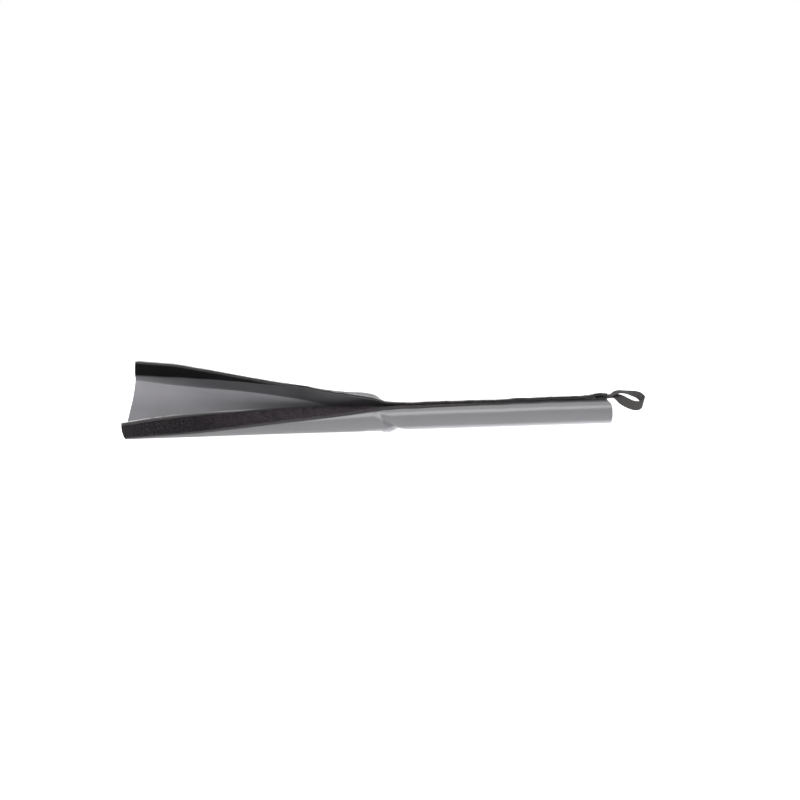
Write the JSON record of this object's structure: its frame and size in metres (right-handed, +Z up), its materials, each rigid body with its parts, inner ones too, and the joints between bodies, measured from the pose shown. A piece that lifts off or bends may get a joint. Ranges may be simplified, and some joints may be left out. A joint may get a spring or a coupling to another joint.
{
  "type": "rope protector sleeve",
  "caption": "Wrap-round sleeve of coated fabric with a hook-and-loop closure and a webbing loop, partly opened, that shields a rope from edges.",
  "frame": {"origin": "on the floor that the sleeve lies on, midway along its length, under the run of the sleeve", "axes": "+X along the sleeve towards the closed end with the webbing loop, +Z up, -Y the side of the sheet's outer, near edge"},
  "size_m": [0.5896, 0.0702, 0.0787],
  "materials": {
    "coated_fabric": "grey woven fabric with a smooth plastic coating, satin",
    "loop_tape": "black loop pile, matt",
    "hook_tape": "black hook field with a woven selvedge, matt",
    "thread": "black sewing thread",
    "webbing": "black flat woven webbing, matt"
  },
  "bodies": {
    "sleeve": {"sleeve_shell": "coated_fabric", "loop_tape_closed": "loop_tape", "hook_tape_closed": "hook_tape", "loop_tape_edge_seam_closed": "thread", "loop_tape_fold_seam_closed": "thread", "hook_tape_fold_seam_closed": "thread", "hook_tape_edge_seam_closed": "thread", "tether_tail": "webbing", "tether_bar_tack": "thread"},
    "near_flap": {"near_flap_panel": "coated_fabric", "loop_tape_flap": "loop_tape", "loop_tape_edge_seam_flap": "thread", "loop_tape_fold_seam_flap": "thread"},
    "far_flap": {"far_flap_panel": "coated_fabric", "hook_tape_flap": "hook_tape", "hook_tape_fold_seam_flap": "thread", "hook_tape_edge_seam_flap": "thread"},
    "tether": {"tether_loop": "webbing"}
  },
  "joints": [
    {"name": "near_flap_fold", "type": "hinge", "parent": "sleeve", "child": "near_flap", "pos_m": [-0.275, -0.0158, 0.0012], "axis": [0.9969, -0.0115, 0.0777], "range_deg": [-40, 60]},
    {"name": "far_flap_fold", "type": "hinge", "parent": "sleeve", "child": "far_flap", "pos_m": [-0.275, 0.0125, 0.0048], "axis": [0.9989, -0.0436, -0.0145], "range_deg": [-45, 25]},
    {"name": "tether_swing", "type": "hinge", "parent": "sleeve", "child": "tether", "pos_m": [0.2762, -0.00216, 0.02597], "axis": [0, 0.9903, -0.1392], "range_deg": [-60, 45], "stiffness_Nm_per_rad": 0.02}
  ]
}
